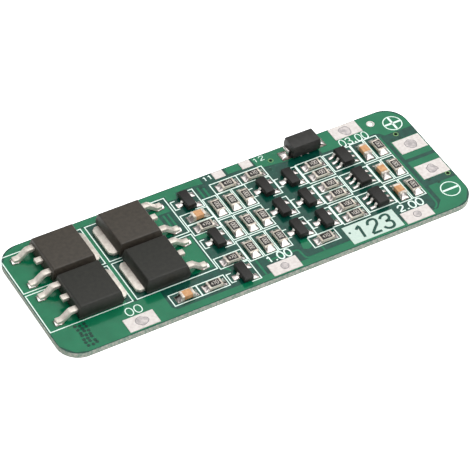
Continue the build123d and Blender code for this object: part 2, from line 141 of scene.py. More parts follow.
# %% [markdown]
# The shadows in the photograph fall softly towards the camera. The sky alone gives hardly any,
# and a sun would give hard ones, so a square lamp stands behind the board. Its mirror image
# would burn out the flat tin, so glossy rays don't see it.
# %% Set the key lamp
KEY_DIRECTION = (0.325, 0.59, 0.738)
KEY_DISTANCE = 0.6
KEY_SIZE = 0.14
KEY_POWER = 1.25

lamp = bpy.data.lights.new("key_lamp", "AREA")
lamp.shape = "SQUARE"
lamp.size = KEY_SIZE
lamp.energy = KEY_POWER
key_lamp = bpy.data.objects.new("key_lamp", lamp)
bpy.context.scene.collection.objects.link(key_lamp)
key_lamp.location = Vector(KEY_DIRECTION).normalized() * KEY_DISTANCE
key_lamp.rotation_euler = key_lamp.location.to_track_quat("Z", "Y").to_euler()
key_lamp.visible_glossy = False
print("key lamp at", key_lamp.location)

# %% [markdown]
# ## The floor
# The board lies on white paper, which keeps its soft shadow. More light would make the paper
# white, but it would bleach the board too. So the paper is matte and pale, and for rays from the
# camera, and for those that metal and glass send on, it also glows a little.
# %% Lay the floor
FLOOR_SIZE = 6.0
FLOOR_LEVEL = -0.04 * MM
PAPER_TONE = 0.86
PAPER_ROUGHNESS = 0.9
PAPER_GLOW = 0.8


def deselect():
    if bpy.context.object and bpy.context.object.mode != "OBJECT":
        bpy.ops.object.mode_set(mode="OBJECT")
    bpy.ops.object.select_all(action="DESELECT")


def pick(*pieces):
    deselect()
    for piece in pieces:
        piece.select_set(True)
    bpy.context.view_layer.objects.active = pieces[0]
    return pieces[0]


deselect()
bpy.ops.mesh.primitive_plane_add(size=FLOOR_SIZE, location=(0, 0, FLOOR_LEVEL))
floor = bpy.context.object
floor.name = "floor"
paper = bpy.data.materials.new("paper")
paper.use_nodes = True
tree = paper.node_tree
shader = tree.nodes["Principled BSDF"]
shader.inputs["Base Color"].default_value = (PAPER_TONE, PAPER_TONE, PAPER_TONE, 1)
shader.inputs["Roughness"].default_value = PAPER_ROUGHNESS
shader.inputs["Emission Color"].default_value = (1, 1, 1, 1)
rays = tree.nodes.new("ShaderNodeLightPath")
seen = reckon(tree, "ADD", rays.outputs["Is Camera Ray"], rays.outputs["Is Glossy Ray"])
seen = reckon(tree, "ADD", seen, rays.outputs["Is Transmission Ray"])
tree.links.new(reckon(tree, "MULTIPLY", seen, PAPER_GLOW), shader.inputs["Emission Strength"])
floor.data.materials.append(paper)
print("floor:", FLOOR_SIZE, "m wide")

# %% [markdown]
# ## Finishes
# No surface here is one flat colour: the mask lies unevenly, tin cools in spots, and moulded
# plastic has a fine grain. Pictures of them could be laid on, but noise needs no files and fits
# every shape. Each finish is a Principled shader. One noise mottles its colour between a dark
# and a light tone, and a second one gives the grain as a bump. Both read Object coordinates,
# which are metres on this board, so a grain is given by its size in millimetres.
# %% Make a finish
NOISE_DETAIL = 3.0
DARK_END = 0.35
LIGHT_END = 0.65


def paint(shade):
    """A colour as the photograph shows it, each part 0 to 255, for a shader's socket."""
    parts = [part / 255 for part in shade]
    return [part / 12.92 if part < 0.04045 else ((part + 0.055) / 1.055) ** 2.4 for part in parts] + [1]


def add_noise(tree, size):
    """A noise with spots of about this many millimetres."""
    place = tree.nodes.new("ShaderNodeTexCoord")
    field = tree.nodes.new("ShaderNodeTexNoise")
    field.inputs["Scale"].default_value = 1 / (size * MM)
    field.inputs["Detail"].default_value = NOISE_DETAIL
    tree.links.new(place.outputs["Object"], field.inputs["Vector"])
    return field


def finish(name, dark, light, roughness, metallic=0.0, mottle=0.6, grain=0.12, depth=0.004):
    """A shader whose colour is mottled, with a grain as deep as `depth` millimetres."""
    made = bpy.data.materials.new(name)
    made.use_nodes = True
    tree = made.node_tree
    shader = tree.nodes["Principled BSDF"]
    shader.inputs["Roughness"].default_value = roughness
    shader.inputs["Metallic"].default_value = metallic
    tones = tree.nodes.new("ShaderNodeValToRGB")
    for element, position, shade in zip(tones.color_ramp.elements, (DARK_END, LIGHT_END), (dark, light)):
        element.position = position
        element.color = paint(shade)
    tree.links.new(add_noise(tree, mottle).outputs["Fac"], tones.inputs["Fac"])
    tree.links.new(tones.outputs["Color"], shader.inputs["Base Color"])
    relief = tree.nodes.new("ShaderNodeBump")
    relief.inputs["Strength"].default_value = 1.0
    relief.inputs["Distance"].default_value = depth * MM
    tree.links.new(add_noise(tree, grain).outputs["Fac"], relief.inputs["Height"])
    tree.links.new(relief.outputs["Normal"], shader.inputs["Normal"])
    return made


print("middle grey, as a shader takes it:", round(paint((128, 128, 128))[0], 3))

# %% [markdown]
# ## Rounded copies
# Nothing moulded or plated has a knife edge, and a small round catches the light. A shader can
# fake a round, but then it isn't in the mesh. So a copy of the node is enlarged to millimetres,
# its loose triangles are merged, its flat faces are joined again, and a bevel rounds the corners.
# %% Copy a node and round it
MERGE_REACH = 0.002
FLAT_WITHIN = math.radians(1)
SMOOTH_WITHIN = math.radians(35)


def enlarged_copy(node):
    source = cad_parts[node]
    piece = bpy.data.objects.new(node + "_copy", source.data.copy())
    bpy.context.scene.collection.objects.link(piece)
    piece.data.transform(Matrix.Scale(1 / MM, 4))
    pick(piece)
    bpy.ops.mesh.customdata_custom_splitnormals_clear()
    bpy.ops.object.mode_set(mode="EDIT")
    bpy.ops.mesh.select_all(action="SELECT")
    bpy.ops.mesh.remove_doubles(threshold=MERGE_REACH)
    bpy.ops.mesh.dissolve_limited(angle_limit=FLAT_WITHIN)
    bpy.ops.object.mode_set(mode="OBJECT")
    return piece


def round_corners(piece, width, segments=2, sharpest=30):
    """Bevel the edges where two faces meet at more than `sharpest` degrees."""
    pick(piece)
    bevel = piece.modifiers.new("round", "BEVEL")
    bevel.width = width
    bevel.segments = segments
    bevel.limit_method = "ANGLE"
    bevel.angle_limit = math.radians(sharpest)
    bpy.ops.object.modifier_apply(modifier=bevel.name)
    bpy.ops.object.shade_smooth_by_angle(angle=SMOOTH_WITHIN)
    return piece


def dress(piece, *finishes):
    piece.data.materials.clear()
    for made in finishes:
        piece.data.materials.append(made)


def complete(piece, name, nodes=()):
    """Bring a piece down to metres and tell the frame what it is."""
    pick(piece)
    bpy.ops.object.transform_apply(location=True, rotation=True, scale=True)
    piece.name = name
    piece.data.name = name
    piece.data.transform(Matrix.Scale(MM, 4))
    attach(piece, "root")
    if nodes:
        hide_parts(*nodes)
    return piece


def dressed_copy(node, name, width, made):
    piece = round_corners(enlarged_copy(node), width)
    dress(piece, made)
    return complete(piece, name, [node])


# %% [markdown]
# ## Moulded bodies and leads
# The transistors, the chips and the diode are moulded in black epoxy, which is matte with a
# fine grain. The rear power transistors come from a browner batch. Their leads are pressed from
# tinned copper sheet. The solids already have the right shape, so rounding them is enough. Tin
# could be a full metal, but aged tin looks half like paint, so its metallic value is about a
# half. Only the diode's leads shine like fresh solder.
# %% Dress the moulded parts and their leads
mould_warm = finish("mould_warm", (50, 45, 38), (60, 54, 46), 0.5, mottle=0.5, grain=0.09, depth=0.012)
mould_black = finish("mould_black", (26, 26, 21), (34, 34, 28), 0.5, mottle=0.5, grain=0.09, depth=0.012)
mould_grey = finish("mould_grey", (38, 37, 35), (46, 45, 43), 0.5, mottle=0.5, grain=0.09, depth=0.012)
chip_black = finish("chip_black", (21, 20, 18), (30, 28, 25), 0.45, mottle=0.2, grain=0.07, depth=0.01)
lead_metal = finish(
    "lead_metal", (214, 204, 194), (240, 233, 222), 0.38, 0.6, mottle=0.5, grain=0.14, depth=0.01)
small_metal = finish(
    "small_metal", (224, 218, 210), (248, 244, 238), 0.28, 0.4, mottle=0.3, grain=0.14, depth=0.006)
solder = finish("solder", (206, 196, 192), (250, 245, 242), 0.14, 1.0, mottle=0.4, grain=0.3, depth=0.006)
BODY_ROUND = 0.05
DIODE_ROUND = 0.06
LEAD_ROUND = 0.06
SMALL_LEAD_ROUND = 0.03
DIODE_LEAD_ROUND = 0.04
REAR_TRANSISTORS = (1, 2)

for number in range(1, 5):
    mould = mould_warm if number in REAR_TRANSISTORS else mould_black
    dressed_copy(f"mosfet_{number}_body", f"power_transistor_{number}", BODY_ROUND, mould)
    dressed_copy(f"mosfet_{number}_leads", f"power_leads_{number}", LEAD_ROUND, lead_metal)
for number in range(1, 4):
    chip = f"protection_chip_{number}_body"
    dressed_copy(chip, f"six_lead_chip_{number}", BODY_ROUND, chip_black)
    driver = f"driver_transistor_{number}"
    dressed_copy(driver, f"driver_{number}", BODY_ROUND, chip_black)
for number in range(1, 7):
    shifter = f"level_transistor_{number}"
    dressed_copy(shifter, f"level_shifter_{number}", BODY_ROUND, chip_black)
dressed_copy("transistor_leads", "small_leads", SMALL_LEAD_ROUND, small_metal)
dressed_copy("protection_chip_leads", "chip_lead_set", SMALL_LEAD_ROUND, small_metal)
dressed_copy("diode_body", "rectifier", DIODE_ROUND, mould_grey)
dressed_copy("diode_leads", "rectifier_leads", DIODE_LEAD_ROUND, solder)

# %% [markdown]
# ## The board
# A board is sawn from glass and resin, and only its two faces are coated in green mask. Two
# meshes could be laid against each other, but one mesh with several finishes leaves no seam.
# The faces that look sideways get the finish of the cut edge, and the walls of the holes get
# bright tin, or at a via a dark brown, which is painted shade for the dark inside of the small
# hole. The rest gets the mask.
# %% Dress the board
mask_on_laminate = finish("mask_on_laminate", (0, 58, 48), (4, 72, 58), 0.12, grain=0.9, depth=0.01)
board_edge = finish(
    "board_edge", (116, 142, 126), (186, 184, 174), 0.75, mottle=0.3, grain=0.15, depth=0.06)
hole_tin = finish("hole_tin", (240, 242, 236), (252, 252, 248), 0.2, 0.9, mottle=0.3)
# The via walls' dark brown is painted shade, for the dark inside of a small hole.
via_wall_painted_shade = finish("via_wall_painted_shade", (26, 34, 20), (40, 46, 28), 0.6, mottle=0.3)
OPEN_HOLE = (24.72, 8.35)
RINGED_VIAS = [(9.5, 8.41), (26.66, 5.16), (28.68, -4.16)]
EDGE_ROUND = 0.03
HOLE_REACH = 0.6
VIA_REACH = 0.4
SIDEWAYS = 0.5

board = round_corners(enlarged_copy("circuit_board"), EDGE_ROUND, segments=1, sharpest=60)
dress(board, mask_on_laminate, board_edge, hole_tin, via_wall_painted_shade)
for face in board.data.polygons:
    if abs(face.normal.z) < SIDEWAYS:
        face.material_index = 1
        if math.dist(face.center[:2], OPEN_HOLE) < HOLE_REACH:
            face.material_index = 2
        if min(math.dist(face.center[:2], via) for via in RINGED_VIAS) < VIA_REACH:
            face.material_index = 3
complete(board, "masked_board", ["circuit_board"])
print("faces of the board:", len(board.data.polygons))

# %% [markdown]
# ## Copper under the mask
# Where copper foil lies under the mask, the green is lighter and stands a hair higher. A bump
# could show that, but its edges would be soft and it would be lost in the mesh. The wide pours
# are flat outlines instead, drawn as filled curves, with a little thickness and a round rim.
# %% Draw a flat outline
POUR_RISE = 0.012
HOLE_POINTS = 16
OUTWARDS = 1.6


def circle_points(x, y, radius, count=8):
    """Points round a circle. A closed NURBS curve on these points is nearly that circle."""
    reach = radius / math.cos(math.pi / count) ** OUTWARDS
    turns = [2 * math.pi * step / count for step in range(count)]
    return [(x + reach * math.cos(turn), y + reach * math.sin(turn)) for turn in turns]


def flat_outline(points, rise, holes=(), level=BOARD_TOP):
    """A flat mesh with this outline and these round holes, at this level."""
    curve = bpy.data.curves.new("outline", "CURVE")
    curve.dimensions = "2D"
    curve.fill_mode = "BOTH"
    curve.extrude = rise / 2
    curve.bevel_depth = rise / 2
    curve.bevel_resolution = 1
    for loop in [points] + [circle_points(*hole, HOLE_POINTS) for hole in holes]:
        spline = curve.splines.new("POLY")
        spline.points.add(len(loop) - 1)
        for point, (x, y) in zip(spline.points, loop):
            point.co = (x, y, 0, 1)
        spline.use_cyclic_u = True
    piece = bpy.data.objects.new("outline", curve)
    bpy.context.scene.collection.objects.link(piece)
    pick(piece)
    bpy.ops.object.convert(target="MESH")
    piece = bpy.context.object
    piece.location.z = level
    return piece


def block(x_low, y_low, x_high, y_high):
    return [(x_low, y_low), (x_high, y_low), (x_high, y_high), (x_low, y_high)]


# %% [markdown]
# The first pour runs round most of the board, and the second fills its rear right corner. The
# rest are the fields under the output pads and scraps between the small parts. They keep off
# the board's edge, as foil does where the saw runs, and have a clear hole at each plated hole.
# %% Lay the pours
mask_on_copper = finish(
    "mask_on_copper", (0, 101, 67), (6, 109, 73), 0.12, mottle=2.0, grain=0.7, depth=0.008)
board_low, board_high = (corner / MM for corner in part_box("circuit_board"))
RIM = 0.12
LEFT = board_low.x + RIM
RIGHT = board_high.x - RIM
FRONT = board_low.y + RIM
BACK = board_high.y - RIM
# A pour rounds a corner of the board by three points, set back by these from its two sides.
CUT = 1.3
DEEP = 1.0
SHALLOW = 0.5
WIDE = 1.6
OPEN_HOLE_CLEAR = 0.42
VIA_CLEAR = 0.22

around = [
    (LEFT, FRONT + CUT + DEEP), (LEFT + CUT, FRONT + SHALLOW), (LEFT + CUT + WIDE, FRONT),
    (RIGHT - CUT - WIDE, FRONT), (RIGHT - CUT, FRONT + SHALLOW), (RIGHT, FRONT + CUT + DEEP),
    (RIGHT, -5.0), (25.1, -5.0), (25.1, -7.9), (24.0, -9.0), (-13.9, -8.9), (-14.4, -8.3),
    (-14.4, -5.35), (-18.9, -5.35), (-18.9, 8.5), (-17.9, 8.9), (-2.0, 8.9), (-0.4, 8.7),
    (-0.4, BACK), (LEFT + CUT + WIDE, BACK), (LEFT + CUT, BACK - SHALLOW), (LEFT, BACK - CUT - DEEP),
]
rear_right = [
    (16.2, 6.5), (24.1, 6.5), (24.8, 6.2), (25.2, 5.6), (RIGHT, 5.6), (RIGHT, BACK - CUT - DEEP),
    (RIGHT - CUT, BACK - SHALLOW), (RIGHT - CUT - WIDE, BACK), (7.3, BACK), (7.3, 8.3), (8.0, 7.8),
    (11.0, 7.4), (16.0, 7.4),
]
scraps = [
    block(25.1, 0.42, RIGHT, 4.1),
    block(25.1, -3.9, RIGHT, -0.17),
    block(-9.4, -4.7, -6.45, 1.2),
    [(-9.4, 2.4), (-8.35, 2.4), (-8.35, 6.3), (-6.5, 6.3), (-6.5, 7.4), (-9.4, 7.4)],
    block(-17.95, -5.0, -17.55, 8.7),
    [(-5.95, 7.9), (-4.7, 7.9), (-4.3, 8.9), (-5.95, 8.9)],
    block(-5.9, 0.2, -4.5, 1.0),
    [(5.0, -7.2), (5.6, -7.5), (6.3, -7.3), (6.3, -5.8), (5.3, -5.8)],
    block(3.35, 8.75, 5.35, BACK),
]
clear_holes = [(*OPEN_HOLE, OPEN_HOLE_CLEAR), (*RINGED_VIAS[0], VIA_CLEAR)]
areas = [flat_outline(around, POUR_RISE), flat_outline(rear_right, POUR_RISE, clear_holes)]
areas += [flat_outline(outline, POUR_RISE) for outline in scraps]
pick(*areas)
bpy.ops.object.join()
copper = bpy.context.object
dress(copper, mask_on_copper)
complete(copper, "copper_pours")
print("pours:", len(areas))

# %% [markdown]
# A track is a narrow strip of the same foil that bends softly on its way. It could be drawn as
# two parallel outlines, but a curve swept with a round section, and then pressed flat, follows
# each bend by itself. The rings, the figures and the ripples in the tin are made so too.
# %% Sweep the tracks
TRACK_WIDTH = 0.28
STROKE_SMOOTH = math.radians(40)


def sweep(points, width, rise, level, order=3, closed=False, sides=1, steps=4):
    """A curve in a level plane, swept with a round section and pressed flat."""
    curve = bpy.data.curves.new("stroke", "CURVE")
    curve.dimensions = "3D"
    curve.bevel_depth = width / 2
    curve.bevel_resolution = sides
    curve.use_fill_caps = True
    spline = curve.splines.new("NURBS")
    spline.points.add(len(points) - 1)
    for point, (x, y) in zip(spline.points, points):
        point.co = (x, y, 0, 1)
    spline.order_u = order
    spline.use_cyclic_u = closed
    spline.use_endpoint_u = not closed
    spline.resolution_u = steps
    piece = bpy.data.objects.new("stroke", curve)
    bpy.context.scene.collection.objects.link(piece)
    pick(piece)
    bpy.ops.object.convert(target="MESH")
    piece = bpy.context.object
    piece.scale.z = 2 * rise / width
    piece.location.z = level
    return piece


def one_piece(strokes, name, made):
    """Strokes joined, shaded smooth and handed to the frame."""
    pick(*strokes)
    if len(strokes) > 1:
        bpy.ops.object.join()
    piece = pick(bpy.context.object)
    bpy.ops.object.shade_smooth_by_angle(angle=STROKE_SMOOTH)
    dress(piece, made)
    return complete(piece, name)


tracks = [
    [(-1.3, -6.0), (-1.3, -6.6), (-1.3, -7.4), (-1.3, -8.9)],
    [(0.0, -6.95), (2.0, -6.95), (3.6, -6.95), (4.4, -7.0), (4.4, -8.0), (4.6, -8.83), (5.8, -8.83),
     (11.0, -8.83)],
    [(7.3, -8.8), (7.3, -8.2), (7.3, -7.7)],
    [(24.4, 5.6), (24.4, 2.0), (24.4, -7.0), (24.4, -8.4), (23.6, -8.8)],
    [(-1.45, 6.3), (-1.45, 7.2), (-1.45, 8.4)],
    [(-0.75, 6.3), (-0.75, 7.2), (-0.75, 8.0)],
    [(-7.7, 3.0), (-7.7, 4.5), (-7.7, 6.0)],
    [(-7.05, 3.4), (-7.05, 4.5), (-7.05, 6.0)],
    [(-5.6, -5.4), (-4.9, -5.9), (-4.9, -6.3)],
]
swept = [sweep(route, TRACK_WIDTH, POUR_RISE, BOARD_TOP) for route in tracks]
one_piece(swept, "copper_tracks", mask_on_copper)
print("tracks:", len(swept))

# %% [markdown]
# ## Vias
# A via is a plated hole that joins the copper of both faces, and its collar of copper shows as
# a raised ring. A torus would be round in section and need pressing flat too, so the ring is
# swept round a circle, as the tracks are. The three small vias have green rings, because the
# mask covers them, and the open hole has one of bare tin.
# %% Ring the holes
via_green = finish("via_green", (96, 140, 84), (120, 160, 100), 0.3, mottle=0.3)
tin = finish("tin", (212, 204, 200), (226, 220, 216), 0.5, 0.25, mottle=0.4, grain=0.3, depth=0.006)
VIA_RING = 0.3
VIA_LINE = 0.14
HOLE_RING = 0.46
HOLE_LINE = 0.18
RING_RISE = 0.03


def ring(x, y, radius, line, rise, level):
    return sweep(circle_points(x, y, radius), line, rise, level, closed=True, steps=3)


rings = [ring(x, y, VIA_RING, VIA_LINE, RING_RISE, BOARD_TOP) for x, y in RINGED_VIAS]
one_piece(rings, "via_rings", via_green)
one_piece([ring(*OPEN_HOLE, HOLE_RING, HOLE_LINE, RING_RISE, BOARD_TOP)], "hole_ring", tin)
print("rings:", len(rings) + 1)

# %% [markdown]
# Most vias are closed by the mask. Cutting their holes would gain nothing, because only a dark
# dimple is seen of them, so each is a flat dot in a darker green: painted shade of the dimple.
# Those near the front left corner stand in three uneven columns. Random numbers could loosen
# them, but sine waves give the same places each time.
# %% Dot the closed holes
# The dots' dark green is painted shade, for the dimple over each closed hole.
dimple_painted_shade = finish("dimple_painted_shade", (2, 50, 38), (8, 64, 48), 0.3, mottle=0.2)
COVERED_VIAS = [(-0.95, 8.3), (8.64, 7.04), (25.69, 4.35), (26.8, 4.35), (26.75, -5.0), (25.86, -4.0)]
DIMPLE = 0.24
DIMPLE_RISE = 0.02
DOT_SIDES = 12
ROWS = 7
COLUMNS = 3
GRID_STEP = 0.56
GRID_FIRST = (-26.2, -9.1)
GRID_SLACK = 0.08
BRIGHT_DOTS = [(13.5, 7.4), (14.5, 7.4)]
BRIGHT_DOT = 0.14


def dot(x, y, radius, rise, level):
    deselect()
    place = (x, y, level)
    bpy.ops.mesh.primitive_cylinder_add(vertices=DOT_SIDES, radius=radius, depth=2 * rise, location=place)
    return bpy.context.object


grid = []
for column in range(COLUMNS):
    for row in range(ROWS):
        aside = GRID_SLACK * math.sin(7 * column + 5 * row)
        along = GRID_SLACK * math.sin(4 * column + 3 * row * row)
        grid.append((GRID_FIRST[0] + column * GRID_STEP + aside, GRID_FIRST[1] + row * GRID_STEP + along))
dimples = [dot(x, y, DIMPLE, DIMPLE_RISE, BOARD_TOP) for x, y in COVERED_VIAS + grid]
one_piece(dimples, "via_dimples", dimple_painted_shade)
bright = [dot(x, y, BRIGHT_DOT, DIMPLE_RISE, BOARD_TOP) for x, y in BRIGHT_DOTS]
one_piece(bright, "tin_dots", tin)
print("dimples:", len(dimples), "bright dots:", len(bright))

# %% [markdown]
# ## Lettering
# The print numbers the pads in plain figures, and gives the output its plus and minus signs. A
# font could write them, but printed figures have round ends and one width of line, which a few
# swept strokes give. A figure is one or two strokes drawn in a cell 0.6 wide and 1 high.
# %% Draw the figures
FIGURES = {
    "0": [("loop", [(0.08, 1.12), (0.52, 1.12), (0.7, 0.5), (0.52, -0.12), (0.08, -0.12), (-0.1, 0.5)])],
    "1": [("line", [(0.08, 0.74), (0.34, 1.0), (0.34, 0.0)])],
    "2": [("bend", [(0.0, 0.74), (0.04, 1.08), (0.62, 1.08), (0.62, 0.62), (0.3, 0.38), (0.0, 0.02)]),
          ("line", [(0.0, 0.0), (0.62, 0.0)])],
    "3": [("bend", [(0.0, 0.84), (0.1, 1.06), (0.6, 1.06), (0.6, 0.56), (0.24, 0.53)]),
          ("bend", [(0.24, 0.53), (0.66, 0.53), (0.66, -0.05), (0.1, -0.07), (-0.02, 0.2)])],
    "4": [("line", [(0.46, 0.0), (0.46, 1.0), (0.0, 0.3), (0.64, 0.3)])],
    "7": [("line", [(0.0, 1.0), (0.6, 1.0), (0.2, 0.0)])],
    ".": [("line", [(0.02, 0.04), (0.22, 0.04)])],
}
CELL_WIDTH = 0.6
POINT_WIDTH = 0.2
CELL_GAP = 0.3


def cell_width(figure):
    return POINT_WIDTH if figure == "." else CELL_WIDTH


def write(text, low, high, width, rise, level, slant=0.0, sides=1, steps=4):
    """Strokes of a text that fills the box from low to high."""
    text_width = sum(cell_width(figure) for figure in text) + CELL_GAP * (len(text) - 1)
    wide = (high[0] - low[0]) / text_width
    tall = high[1] - low[1]
    strokes = []
    start = 0.0
    for figure in text:
        for kind, points in FIGURES[figure]:
            placed = [(low[0] + wide * (start + x + slant * y), low[1] + tall * y) for x, y in points]
            order = 2 if kind == "line" else 3
            strokes.append(sweep(placed, width, rise, level, order, kind == "loop", sides, steps))
        start += cell_width(figure) + CELL_GAP
    return strokes


print("figures:", len(FIGURES))

# %% [markdown]
# The print is white ink, as thick as that of the printed frames. Its signs could be cut from
# one sheet, but strokes that cross look the same where all have one height. So a sign is a ring
# with one bar across it, or two for the plus, and each number is written into the box that it
# fills on the board.
# %% Print the pad numbers and the signs
print_ink = finish("print_ink", (216, 236, 226), (230, 246, 238), 0.6, mottle=0.3, grain=0.1)
PRINT_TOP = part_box("printed_frames")[1].z / MM
PRINT_RISE = PRINT_TOP - BOARD_TOP
FIGURE_LINE = 0.21
LABELS = [
    ("00", (-19.7, -7.06), (-17.7, -6.04)),
    ("1.00", (-0.03, -7.35), (3.29, -6.33)),
    ("2.00", (19.41, -7.36), (22.89, -6.37)),
    ("03.00", (19.16, 6.35), (23.23, 7.42)),
    ("11", (0.0, 8.98), (1.2, 9.7)),
    ("12", (7.42, 8.98), (8.9, 9.7)),
]
SIGN_RADIUS = 1.21
SIGN_LINE = 0.22
BAR_LINE = 0.46
BAR_REACH = 1.15
PLUS = (27.40, 7.14)
MINUS = (27.36, -6.75)


def bar(start, end):
    return sweep([start, end], BAR_LINE, PRINT_RISE, BOARD_TOP, 2)


marks = []
for text, low, high in LABELS:
    marks += write(text, low, high, FIGURE_LINE * min(high[1] - low[1], 1), PRINT_RISE, BOARD_TOP)
for x, y in (PLUS, MINUS):
    marks.append(ring(x, y, SIGN_RADIUS, SIGN_LINE, PRINT_RISE, BOARD_TOP))
    marks.append(bar((x - BAR_REACH, y), (x + BAR_REACH, y)))
x, y = PLUS
marks.append(bar((x, y - BAR_REACH), (x, y + BAR_REACH)))
one_piece(marks, "printed_numbers", print_ink)
print("printed strokes:", len(marks))

# %% [markdown]
# The solid block of print has its number left open, so that the green shows through it. Cutting
# the strokes out of the ink would split its face into slivers. Laid on it in the mask's own
# green they look the same.
# %% Number the white block
BLOCK_LOW = (12.3, -9.05)
BLOCK_HIGH = (17.4, -6.9)
BLOCK_LINE = 0.38
BLOCK_SLANT = 0.1
BLOCK_RISE = 0.02
LEADING_DOT = (11.59, -7.6, 0.17)
LEADING_DOT_RISE = 0.012

block_text = write("123", BLOCK_LOW, BLOCK_HIGH, BLOCK_LINE, BLOCK_RISE, PRINT_TOP, slant=BLOCK_SLANT)
block_text.append(dot(*LEADING_DOT, LEADING_DOT_RISE, PRINT_TOP))
one_piece(block_text, "block_number", mask_on_laminate)
print("strokes on the block:", len(block_text))

# %% [markdown]
# ## Solids in a shared node
# The lands, solder joints and end caps each share one node. Their places could be typed in
# again, but they are already in the mesh. Flood filling it finds the separate solids, and each
# is given as its box and the middle of its highest edge, which shows which way solder climbs.
# %% Find the solids of a node
PEAK_DEPTH = 0.01


def solids_of(node):
    mesh = bmesh.new()
    mesh.from_mesh(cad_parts[node].data)
    bmesh.ops.transform(mesh, matrix=Matrix.Scale(1 / MM, 4), verts=mesh.verts)
    bmesh.ops.remove_doubles(mesh, verts=mesh.verts, dist=MERGE_REACH)
    found = []
    waiting = set(mesh.verts)
    # A set has no fixed order, so each search starts from the vertices in theirs.
    for first in mesh.verts:
        if first not in waiting:
            continue
        waiting.remove(first)
        group = [first]
        for vert in group:
            for edge in vert.link_edges:
                other = edge.other_vert(vert)
                if other in waiting:
                    waiting.remove(other)
                    group.append(other)
        low = Vector([min(v.co[i] for v in group) for i in range(3)])
        high = Vector([max(v.co[i] for v in group) for i in range(3)])
        peak = [v.co for v in group if v.co.z > high.z - PEAK_DEPTH]
        found.append((low, high, sum(peak, Vector()) / len(peak)))
    mesh.free()
    return found


joints = solids_of("solder_joints")
lands = solids_of("component_pads")
caps = solids_of("chip_end_caps")
print("solder joints:", len(joints), "lands:", len(lands), "end caps:", len(caps))

# %% [markdown]
# ## Solder
# Molten solder wets a land to its edges and climbs the terminal in a hollow curve. A bevel gives
# only a flat or a round slope, so one fillet is a grid with its heights worked out from that
# curve, closed underneath. It is modelled once, one unit long, wide and high, and with few
# faces, because it is needed at more than a hundred joints. On the thin foot of a lead the
# solder stands as a low rounded mound instead.
# %% Model a fillet of solder
FILLET_STEPS = 8
RIM_HEIGHT = 0.06
SIDE_FALL = 0.7
TIP_TAPER = 0.1
TAPER_START = 6
HOLLOWNESS = 1.2
ROUNDNESS = 2.2


def hollow_slope(across):
    return (1 - across) ** HOLLOWNESS


def rounded_slope(across):
    return 1 - across ** ROUNDNESS


def unit_solder(slope, squareness):
    """Solder one unit long, wide and high: it falls off outwards by `slope`, and to both sides."""
    deselect()
    bpy.ops.mesh.primitive_grid_add(x_subdivisions=FILLET_STEPS, y_subdivisions=FILLET_STEPS, size=1)
    piece = bpy.context.object
    for vert in piece.data.vertices:
        across = min(vert.co.x + 0.5, 1.0)
        rim = 1 - min(abs(2 * vert.co.y), 1.0) ** squareness
        vert.co.z = RIM_HEIGHT + (1 - RIM_HEIGHT) * slope(across) * rim ** SIDE_FALL
        vert.co.x = across
        vert.co.y *= 1 - TIP_TAPER * across ** TAPER_START
    pick(piece)
    bpy.ops.object.mode_set(mode="EDIT")
    bpy.ops.mesh.select_all(action="SELECT")
    bpy.ops.mesh.extrude_region_move()
    bpy.ops.transform.resize(value=(1, 1, 0), center_override=(0, 0, 0))
    bpy.ops.object.mode_set(mode="OBJECT")
    return piece


def copies(model, places):
    """Copies of a model at a list of matrices, joined into one piece."""
    made = []
    for place in places:
        copy = bpy.data.objects.new("solder_copy", model.data.copy())
        copy.data.transform(place)
        bpy.context.scene.collection.objects.link(copy)
        made.append(copy)
    bpy.data.objects.remove(model)
    pick(*made)
    bpy.ops.object.join()
    return bpy.context.object


# %% [markdown]
# Each fillet is stretched over the box of its joint and turned the way the joint climbs. At an
# end cap the solder creeps a little under the cap and climbs higher than the plain solid. The
# joint of a thin lead spreads over its whole land.
# %% Fit the solder to the joints
CREEP = 0.06
CLIMB = 1.35
MOUND = 0.24
LOW_JOINT = 0.25
TOUCHING = 0.05
HOLLOW_SQUARENESS = 2.6
MOUND_SQUARENESS = 2.2
SOLDER_SMOOTH = math.radians(60)


def fillet_place(low, high, peak):
    """The matrix that stretches the unit fillet over one joint, and turns it the way it climbs."""
    middle = (low + high) / 2
    size = high - low
    lean = peak - middle
    axis = 0 if abs(lean.x) > abs(lean.y) else 1
    side = 1 if lean[axis] < 0 else -1
    start = Vector((middle.x, middle.y, low.z))
    start[axis] = (low if side > 0 else high)[axis] - side * CREEP
    # The turn about Z is 0 or 180 degrees for a joint along X, and 90 or -90 for one along Y.
    angle = math.atan2(side * axis, side * (1 - axis))
    stretch = Matrix.Diagonal((size[axis] + CREEP, size[1 - axis], size.z, 1))
    return Matrix.Translation(start) @ Matrix.Rotation(angle, 4, "Z") @ stretch


def on_cap(low, high):
    """Whether a joint touches the end cap of a chip, seen from above."""
    for cap_low, cap_high, _ in caps:
        gaps = [max(low[i] - cap_high[i], cap_low[i] - high[i]) for i in (0, 1)]
        if max(gaps) < TOUCHING:
            return True
    return False


def over_land(low, high, peak):
    """The joint of a thin lead, spread over the whole land."""
    middle = (low + high) / 2
    for land_low, land_high, _ in lands:
        if land_low.x < middle.x < land_high.x and land_low.y < middle.y < land_high.y:
            shift = (land_low + land_high) / 2 - middle
            return Vector((*land_low.xy, low.z)), Vector((*land_high.xy, low.z + MOUND)), peak + shift
    return low, high, peak


hollows = []
mounds = []
for low, high, peak in joints:
    if on_cap(low, high):
        top = low.z + CLIMB * (high.z - low.z)
        hollows.append(fillet_place(low, Vector((*high.xy, top)), peak))
    elif high.z - low.z < LOW_JOINT:
        mounds.append(fillet_place(*over_land(low, high, peak)))
    else:
        mounds.append(fillet_place(low, high, peak))
hollow_set = copies(unit_solder(hollow_slope, HOLLOW_SQUARENESS), hollows)
mound_set = copies(unit_solder(rounded_slope, MOUND_SQUARENESS), mounds)
fillets = pick(hollow_set, mound_set)
bpy.ops.object.join()
pick(fillets)
bpy.ops.object.shade_smooth_by_angle(angle=SOLDER_SMOOTH)
dress(fillets, solder)
complete(fillets, "solder_fillets", ["solder_joints"])
print("fillets:", len(hollows), "mounds:", len(mounds))

